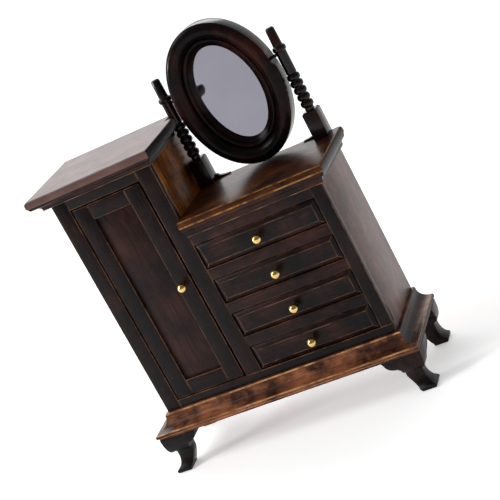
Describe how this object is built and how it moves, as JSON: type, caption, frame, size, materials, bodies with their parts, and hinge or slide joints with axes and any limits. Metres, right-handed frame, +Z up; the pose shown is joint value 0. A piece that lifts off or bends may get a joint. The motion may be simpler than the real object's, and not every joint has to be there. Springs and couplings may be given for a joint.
{
  "type": "miniature dressing chest",
  "caption": "Dolls' house dressing chest: tall cupboard with a panelled door, drawers beside it, a moulded plinth on ogee feet, and an oval swing mirror between turned posts.",
  "frame": {"origin": "centre of the bounding box at floor level, under the feet", "axes": "+Z up, -Y towards the front with the door and drawers, +X to the right seen from the front"},
  "size_m": [0.0908, 0.036, 0.1221],
  "materials": {
    "dark_walnut": "near-black walnut stain under satin lacquer, rubbed brown on the edges",
    "worn_walnut": "dark red-brown walnut stain under satin lacquer, rubbed lighter",
    "raw_pine": "bare sanded softwood",
    "polished_brass": "polished",
    "blackened_steel": "blackened wire",
    "mirror_glass": "silvered glass"
  },
  "bodies": {
    "carcass": {"plinth_board": "worn_walnut", "foot_front_left": "dark_walnut", "foot_front_right": "dark_walnut", "foot_back_left": "dark_walnut", "foot_back_right": "dark_walnut", "bottom_board": "raw_pine", "cupboard_left_side": "dark_walnut", "cupboard_right_side": "worn_walnut", "chest_right_side": "worn_walnut", "cupboard_back": "raw_pine", "chest_back": "raw_pine", "drawer_guide": "raw_pine", "left_stile": "dark_walnut", "middle_stile": "dark_walnut", "right_stile": "dark_walnut", "bottom_rail": "dark_walnut", "cupboard_top_rail": "dark_walnut", "chest_top_rail": "dark_walnut", "drawer_rail_1": "dark_walnut", "drawer_rail_2": "dark_walnut", "drawer_rail_3": "dark_walnut", "dust_board_1": "raw_pine", "dust_board_2": "raw_pine", "dust_board_3": "raw_pine", "cupboard_top": "worn_walnut", "cupboard_cornice_front": "dark_walnut", "cupboard_cornice_left": "dark_walnut", "cupboard_cornice_right": "dark_walnut", "chest_top": "worn_walnut", "chest_cornice_front": "dark_walnut", "chest_cornice_right": "dark_walnut", "hinge_pin_lower": "blackened_steel", "hinge_pin_upper": "blackened_steel", "mirror_post_left": "dark_walnut", "mirror_post_right": "dark_walnut", "post_bracket_left": "dark_walnut", "post_bracket_right": "dark_walnut"},
    "door": {"door_stile_left": "dark_walnut", "door_stile_right": "dark_walnut", "door_rail_top": "dark_walnut", "door_rail_bottom": "dark_walnut", "door_panel": "worn_walnut", "door_knob": "polished_brass"},
    "drawer_1": {"drawer_1_front": "dark_walnut", "drawer_1_box": "raw_pine", "drawer_1_knob": "polished_brass"},
    "drawer_2": {"drawer_2_front": "dark_walnut", "drawer_2_box": "raw_pine", "drawer_2_knob": "polished_brass"},
    "drawer_3": {"drawer_3_front": "dark_walnut", "drawer_3_box": "raw_pine", "drawer_3_knob": "polished_brass"},
    "drawer_4": {"drawer_4_front": "dark_walnut", "drawer_4_box": "raw_pine", "drawer_4_knob": "polished_brass"},
    "mirror": {"mirror_frame": "dark_walnut", "mirror_glass": "mirror_glass", "mirror_backboard": "raw_pine", "mirror_pivot_left": "blackened_steel", "mirror_pivot_right": "blackened_steel"}
  },
  "joints": [
    {"name": "door_hinge", "type": "hinge", "parent": "carcass", "child": "door", "pos_m": [-0.03325, -0.01123, 0.0561], "axis": [0, 0, -1], "range_deg": [0, 105]},
    {"name": "drawer_1_slide", "type": "slide", "parent": "carcass", "child": "drawer_1", "axis": [0, -1, 0], "range_m": [0, 0.017]},
    {"name": "drawer_2_slide", "type": "slide", "parent": "carcass", "child": "drawer_2", "axis": [0, -1, 0], "range_m": [0, 0.017]},
    {"name": "drawer_3_slide", "type": "slide", "parent": "carcass", "child": "drawer_3", "axis": [0, -1, 0], "range_m": [0, 0.017]},
    {"name": "drawer_4_slide", "type": "slide", "parent": "carcass", "child": "drawer_4", "axis": [0, -1, 0], "range_m": [0, 0.017]},
    {"name": "mirror_tilt", "type": "hinge", "parent": "carcass", "child": "mirror", "pos_m": [0.0179, 0.01448, 0.1033], "axis": [1, 0, 0], "range_deg": [-35, 35]}
  ]
}
